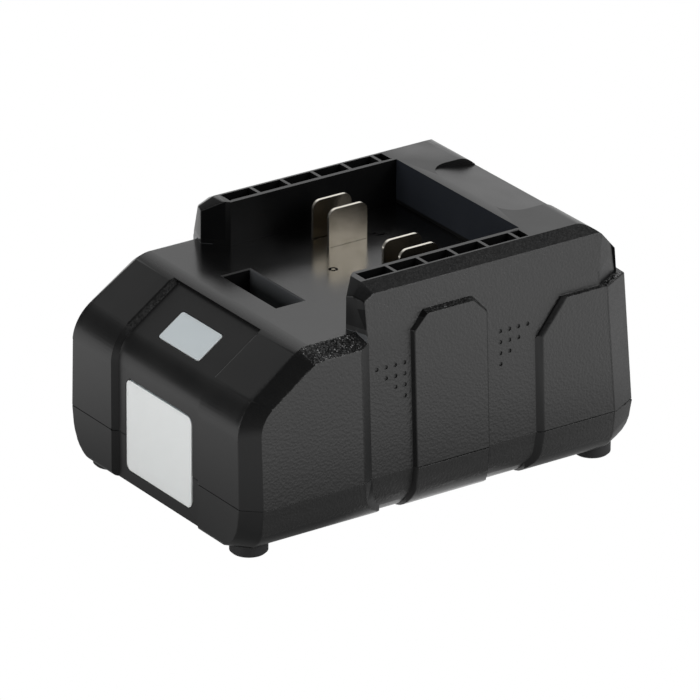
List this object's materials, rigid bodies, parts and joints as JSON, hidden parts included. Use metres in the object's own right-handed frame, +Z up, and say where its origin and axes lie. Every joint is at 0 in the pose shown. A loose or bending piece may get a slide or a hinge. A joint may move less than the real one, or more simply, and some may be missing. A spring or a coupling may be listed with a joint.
{
  "type": "power tool battery charger",
  "caption": "Desktop charger for slide-in tool batteries: dark moulded housing, open top bay with upright contact blades, sloped front with two milky light windows.",
  "frame": {"origin": "centre of the footprint, on the plane that the four feet stand on", "axes": "+Z up; -Y towards the sloped front where a battery slides in; +X towards the side with the badge panel that the picture shows"},
  "size_m": [0.084, 0.1204, 0.0655],
  "materials": {
    "housing_plastic": "near-black moulded plastic, satin on the front and deck, coarse spark-eroded grain on the sides and edge strips",
    "window_plastic": "milky translucent light diffuser",
    "inner_plastic": "plain moulded plastic",
    "circuit_board": "green solder mask",
    "light_part": "clear moulded light",
    "contact_metal": "nickel plated, warm satin",
    "screw_steel": "zinc plated",
    "lead_red": "insulated wire",
    "lead_brown": "insulated wire",
    "ferrite": "sintered ferrite",
    "winding_tape": "yellow insulating film",
    "capacitor_sleeve": "printed sleeve left plain",
    "moulded_black": "black moulded body",
    "fuse_ceramic": "ceramic body",
    "sink_aluminium": "stamped sheet",
    "pin_brass": "plated pin",
    "foot_rubber": "moulded rubber"
  },
  "bodies": {
    "root": {"upper_shell": "housing_plastic", "lower_shell": "housing_plastic", "front_window": "window_plastic", "indicator_window": "window_plastic", "light_frame": "inner_plastic", "front_light_board": "circuit_board", "front_lights": "light_part", "indicator_frame": "inner_plastic", "indicator_board": "circuit_board", "indicator_lights": "light_part", "indicator_screws": "screw_steel", "contact_blade_1": "contact_metal", "contact_blade_2": "contact_metal", "contact_blade_3": "contact_metal", "contact_blade_4": "contact_metal", "contact_holder": "inner_plastic", "holder_screws": "screw_steel", "blade_leads": "lead_red", "main_board": "circuit_board", "board_screws": "screw_steel", "transformer_core": "ferrite", "transformer_winding": "winding_tape", "bulk_capacitor": "capacitor_sleeve", "output_capacitors": "capacitor_sleeve", "mains_choke": "winding_tape", "line_capacitor": "winding_tape", "bridge_rectifier": "moulded_black", "fuse": "fuse_ceramic", "switch_heat_sink": "sink_aluminium", "power_switch": "moulded_black", "diode_heat_sink": "sink_aluminium", "output_diode": "moulded_black", "control_chip": "moulded_black", "optocoupler": "moulded_black", "mains_inlet": "moulded_black", "inlet_pins": "pin_brass", "inlet_leads": "lead_brown", "housing_screws": "screw_steel", "foot_front_right": "foot_rubber", "foot_front_left": "foot_rubber", "foot_rear_right": "foot_rubber", "foot_rear_left": "foot_rubber"}
  },
  "joints": []
}
